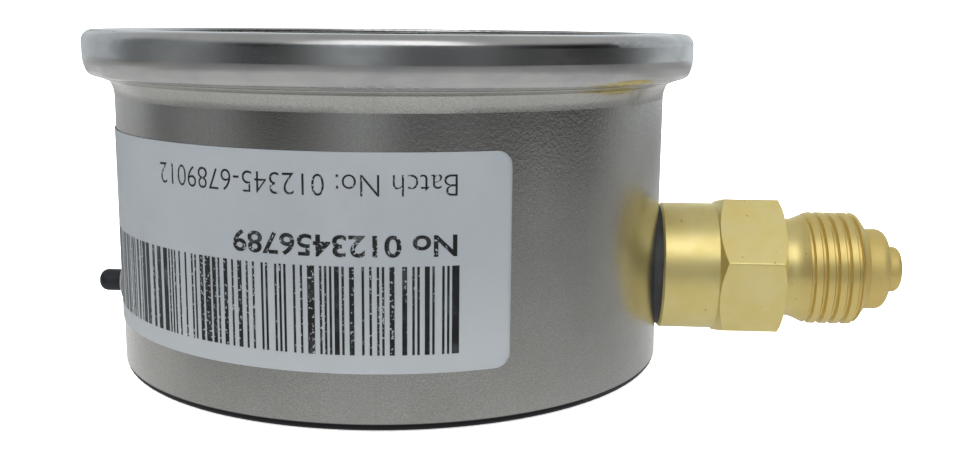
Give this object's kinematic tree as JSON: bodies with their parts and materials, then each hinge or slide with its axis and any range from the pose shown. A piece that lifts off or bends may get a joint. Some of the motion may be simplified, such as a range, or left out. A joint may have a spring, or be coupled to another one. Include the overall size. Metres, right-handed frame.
{
  "type": "pressure gauge",
  "caption": "Bourdon-tube pressure gauge with a steel case, crimped bezel, radial threaded brass connection and geared pointer movement.",
  "frame": {"origin": "centre of the case's flat back", "axes": "+Z out of the dial, +X out along the process connection; the dial reads upright with -X up"},
  "size_m": [0.0961, 0.0692, 0.0377],
  "materials": {
    "stainless_case": "satin drawn stainless steel",
    "stainless_ring": "polished stainless steel",
    "brass": "machined, bright",
    "movement_brass": "stamped, lightly brushed",
    "tube_bronze": "drawn copper alloy",
    "black_rubber": "matt",
    "window_glass": "clear",
    "dial_white": "white lacquer, black print",
    "pointer_black": "matt black lacquer",
    "steel": "plain turned steel",
    "label_paper": "thermal-printed paper"
  },
  "bodies": {
    "housing": {"case": "stainless_case", "bezel_ring": "stainless_ring", "window_gasket": "black_rubber", "window": "window_glass", "stem": "brass", "stem_gasket": "black_rubber", "stem_clip": "steel", "restrictor_screw": "brass", "bourdon_tube": "tube_bronze", "movement_back_plate": "movement_brass", "movement_front_plate": "movement_brass", "movement_pillars": "movement_brass", "movement_screws": "steel", "mounting_screws": "steel", "hairspring": "tube_bronze", "hairspring_stud": "movement_brass", "dial": "dial_white", "dial_posts": "movement_brass", "dial_screws": "steel", "pointer_stop_pin": "steel", "fill_plug": "black_rubber", "label": "label_paper"},
    "sector": {"sector_gear": "movement_brass", "sector_arbor": "steel", "sector_tail_pin": "steel"},
    "pointer_assembly": {"pinion_arbor": "steel", "hairspring_collet": "movement_brass", "pointer": "pointer_black", "pointer_hub": "movement_brass"},
    "tube_tip": {"tube_end_piece": "movement_brass", "tube_end_pin": "steel"},
    "link": {"connecting_link": "movement_brass"}
  },
  "joints": [
    {"name": "sector_swing", "type": "hinge", "parent": "housing", "child": "sector", "pos_m": [0.0135, 0, 0.0174], "axis": [0, 0, 1], "range_deg": [0, 41.54], "stiffness_Nm_per_rad": 0.0002, "deforming": ["bourdon_tube", "hairspring"]},
    {"name": "pointer_turn", "type": "hinge", "parent": "housing", "child": "pointer_assembly", "pos_m": [0, 0, 0.0295], "axis": [0, 0, -1], "range_deg": [0, 270.1]},
    {"name": "tube_tip_travel", "type": "hinge", "parent": "housing", "child": "tube_tip", "pos_m": [-0.0048, -0.0018, 0.01053], "axis": [0, 0, 1], "range_deg": [0, 8]},
    {"name": "link_swing", "type": "hinge", "parent": "sector", "child": "link", "pos_m": [0.01771, -0.0016, 0.0182], "axis": [0, 0, 1], "range_deg": [-32.7, 0]}
  ],
  "couplings": [
    {"joint": "pointer_turn", "follows": "sector_swing", "ratio": 6.5},
    {"joint": "tube_tip_travel", "follows": "sector_swing", "ratio": 0.1922},
    {"joint": "link_swing", "follows": "sector_swing", "ratio": -0.7861}
  ]
}
